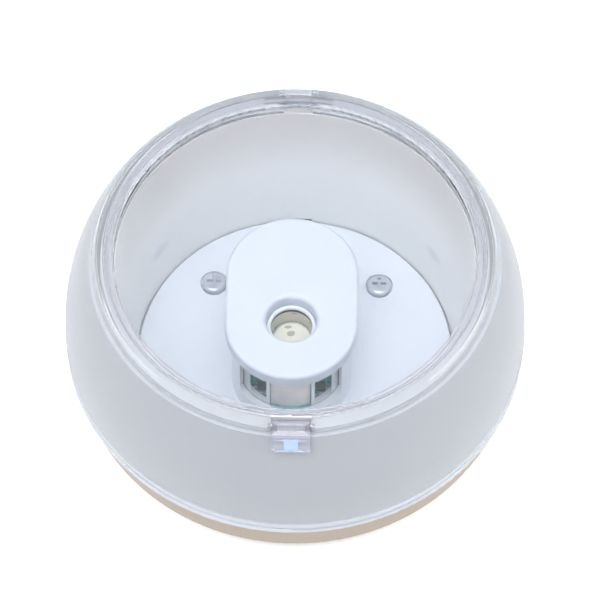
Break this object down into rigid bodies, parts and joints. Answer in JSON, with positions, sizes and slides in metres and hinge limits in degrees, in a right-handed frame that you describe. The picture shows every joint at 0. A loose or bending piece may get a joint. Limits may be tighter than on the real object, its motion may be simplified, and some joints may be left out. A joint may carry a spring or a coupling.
{
  "type": "horn strobe",
  "caption": "Round horn strobe: frosted bowl on a flat base, clear hinged cover with front latch, white central lamp tower with a light well, horn inside it",
  "frame": {"origin": "centre of the flat back face", "axes": "+Z away from the mounting surface, along the lamp's axis; -Y towards the cover latch, +Y towards the cover hinge"},
  "size_m": [0.1206, 0.1206, 0.0556],
  "materials": {
    "ivory_plastic": "satin",
    "white_plastic": "satin",
    "screw_steel": "plated, satin",
    "pin_steel": "ground",
    "frosted_plastic": "frosted, translucent",
    "clear_plastic": "clear, polished",
    "silicone": "soft, matt",
    "heat_sink_metal": "blasted",
    "led_board_white": "solder mask",
    "led_ceramic": "matt",
    "phosphor": "matt",
    "reflector_metal": "vacuum plated",
    "circuit_board": "solder mask",
    "moulded_black": "moulded",
    "ferrite": "matt",
    "capacitor_can": "satin",
    "horn_brass": "rolled",
    "horn_silver": "silvered",
    "lead_insulation": "satin",
    "terminal_plastic": "moulded",
    "clamp_metal": "nickel plated"
  },
  "bodies": {
    "housing": {"base": "ivory_plastic", "floor_plate": "white_plastic", "tower_cap": "white_plastic", "tower_shell": "white_plastic", "led_frame": "white_plastic", "well_ring": "white_plastic", "tray_screws": "screw_steel", "tower_screws": "screw_steel", "terminal_screws": "screw_steel", "bowl": "frosted_plastic", "inner_wall": "frosted_plastic", "base_gasket": "silicone", "cover_seal": "silicone", "heat_sink": "heat_sink_metal", "led_board": "led_board_white", "led_substrate": "led_ceramic", "led_dam": "led_ceramic", "led_emitter": "phosphor", "led_reflector": "reflector_metal", "main_board": "circuit_board", "driver_board": "circuit_board", "side_boards": "circuit_board", "well_gasket": "moulded_black", "board_chips": "moulded_black", "horn_cup": "moulded_black", "horn_cap": "moulded_black", "setting_switch": "moulded_black", "level_switch": "moulded_black", "power_coil": "ferrite", "storage_capacitor": "capacitor_can", "horn_disc": "horn_brass", "horn_ceramic": "horn_silver", "horn_leads": "lead_insulation", "terminal_block": "terminal_plastic", "terminal_clamps": "clamp_metal"},
    "cover": {"cover": "clear_plastic", "hinge_pin": "pin_steel", "latch_pin": "pin_steel"},
    "latch": {"cover_latch": "clear_plastic"},
    "tone_slider": {"tone_slider": "white_plastic"},
    "volume_slider": {"volume_slider": "white_plastic"},
    "level_slider": {"level_slider": "white_plastic"}
  },
  "joints": [
    {"name": "cover_hinge", "type": "hinge", "parent": "housing", "child": "cover", "pos_m": [0, 0.0499, 0.0536], "axis": [-1, 0, 0], "range_deg": [0, 95]},
    {"name": "latch_pivot", "type": "hinge", "parent": "cover", "child": "latch", "pos_m": [0, -0.0496, 0.0536], "axis": [-1, 0, 0], "range_deg": [0, 70]},
    {"name": "tone_slide", "type": "slide", "parent": "housing", "child": "tone_slider", "axis": [0, 1, 0], "range_m": [0, 0.0016]},
    {"name": "volume_slide", "type": "slide", "parent": "housing", "child": "volume_slider", "axis": [0, 1, 0], "range_m": [0, 0.0016]},
    {"name": "level_slide", "type": "slide", "parent": "housing", "child": "level_slider", "axis": [1, 0, 0], "range_m": [0, 0.0046]}
  ]
}
